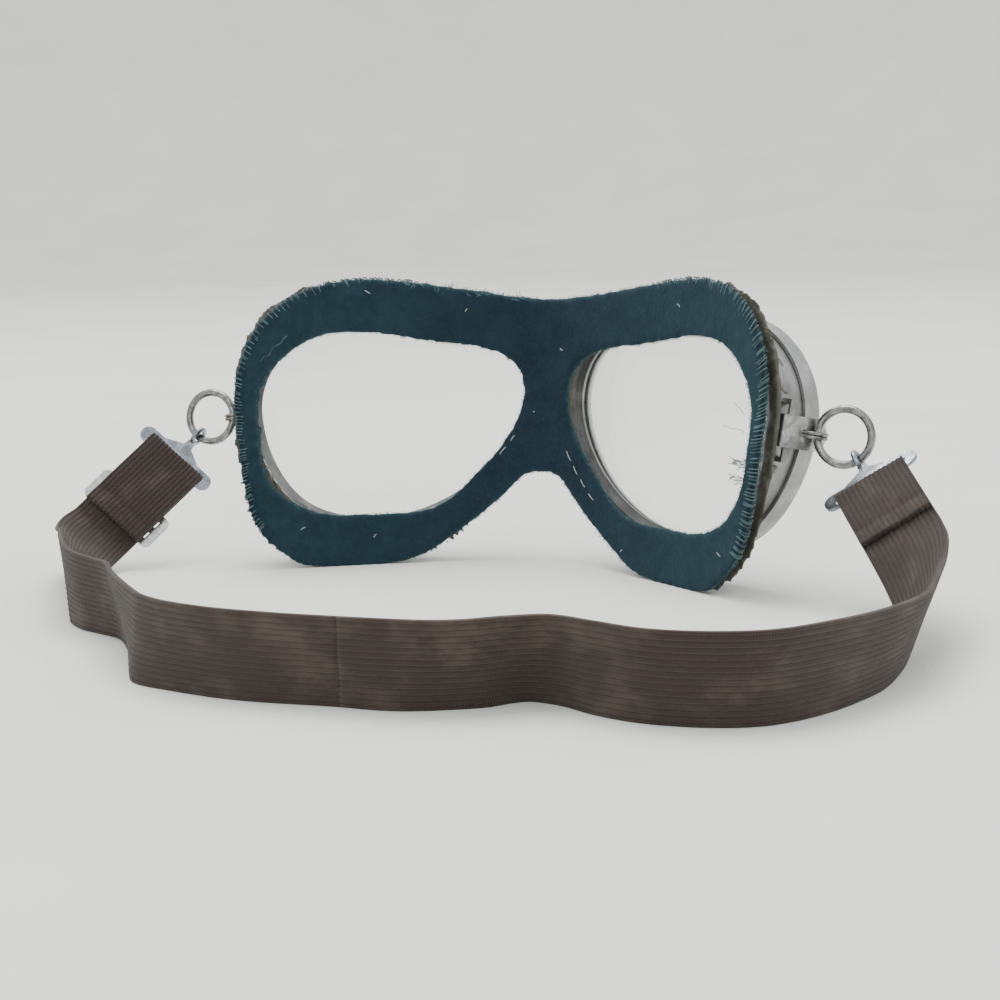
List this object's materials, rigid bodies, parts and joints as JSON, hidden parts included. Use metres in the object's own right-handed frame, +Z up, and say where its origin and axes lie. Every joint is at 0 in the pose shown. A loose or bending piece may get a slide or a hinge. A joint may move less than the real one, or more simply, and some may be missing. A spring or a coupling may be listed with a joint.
{
  "type": "motorcycle goggles",
  "caption": "Split-lens motorcycle goggles: two vented aluminium eye cups, felt face pad, and an elastic strap on ring and clasp side fittings.",
  "frame": {"origin": "bottom centre of the whole object's box, on the surface it stands on", "axes": "+X the wearer's right, +Y forwards out of the lenses, +Z up"},
  "size_m": [0.2654, 0.1954, 0.0839],
  "materials": {
    "aluminium": "dull, lightly scratched",
    "aluminium_rim": "rolled, worn edge",
    "glass": "clear, flat",
    "seal": "matt",
    "leatherette": "olive grey coated cloth",
    "keeper": "dull",
    "rivet": "dull",
    "clasp": "nickel plated, worn",
    "wire": "drawn wire",
    "ring_wire": "plated wire",
    "hanger": "zinc plated, bluish",
    "elastic": "ribbed woven elastic",
    "slider": "nickel plated, worn",
    "felt": "wool felt, fuzzy edge",
    "bridge": "olive grey coated cloth"
  },
  "bodies": {
    "frame": {"bezel_left": "aluminium_rim", "bezel_right": "aluminium_rim", "cup_left": "aluminium", "cup_right": "aluminium", "felt_pad": "felt", "keeper_rivets_left": "rivet", "keeper_rivets_right": "rivet", "keeper_strip_left": "keeper", "keeper_strip_right": "keeper", "leatherette_skirt_left": "leatherette", "leatherette_skirt_right": "leatherette", "lens_left": "glass", "lens_right": "glass", "lens_seal_left": "seal", "lens_seal_right": "seal", "nose_bridge": "bridge", "strap_band": "elastic"},
    "clasp_right": {"clasp_plate_right": "clasp", "split_pin_right": "wire"},
    "ring_right": {"ring_right": "ring_wire"},
    "hanger_right": {"strap_hanger_right": "hanger", "strap_end_right": "elastic"},
    "clasp_left": {"clasp_plate_left": "clasp", "split_pin_left": "wire"},
    "ring_left": {"ring_left": "ring_wire"},
    "hanger_left": {"strap_hanger_left": "hanger", "strap_end_left": "elastic"},
    "slider": {"strap_slider": "slider"}
  },
  "joints": [
    {"name": "clasp_right_swing", "type": "hinge", "parent": "frame", "child": "clasp_right", "pos_m": [0.07859, 0.04995, 0.0446], "axis": [-0.1355, -0.1507, -0.9793], "range_deg": [0, 12], "deforming": ["strap_band"]},
    {"name": "ring_right_turn", "type": "hinge", "parent": "clasp_right", "child": "ring_right", "pos_m": [0.09243, 0.05426, 0.04298], "axis": [-0.0591, -0.9854, 0.1598], "continuous": true},
    {"name": "hanger_right_swing", "type": "hinge", "parent": "clasp_right", "child": "hanger_right", "pos_m": [0.09661, 0.05304, 0.037], "axis": [0.8232, 0.0424, 0.5662], "range_deg": [-8, 8]},
    {"name": "clasp_left_swing", "type": "hinge", "parent": "frame", "child": "clasp_left", "pos_m": [-0.08935, 0.04995, 0.0446], "axis": [-0.1355, 0.1507, 0.9793], "range_deg": [0, 12]},
    {"name": "ring_left_turn", "type": "hinge", "parent": "clasp_left", "child": "ring_left", "pos_m": [-0.10319, 0.05426, 0.04298], "axis": [0.0591, -0.9854, 0.1598], "continuous": true},
    {"name": "hanger_left_swing", "type": "hinge", "parent": "clasp_left", "child": "hanger_left", "pos_m": [-0.10737, 0.05304, 0.037], "axis": [-0.8232, 0.0424, 0.5662], "range_deg": [-8, 8]},
    {"name": "slider_slide", "type": "slide", "parent": "hanger_left", "child": "slider", "axis": [0.3939, 0.6998, 0.5959], "range_m": [0, 0.008]}
  ]
}
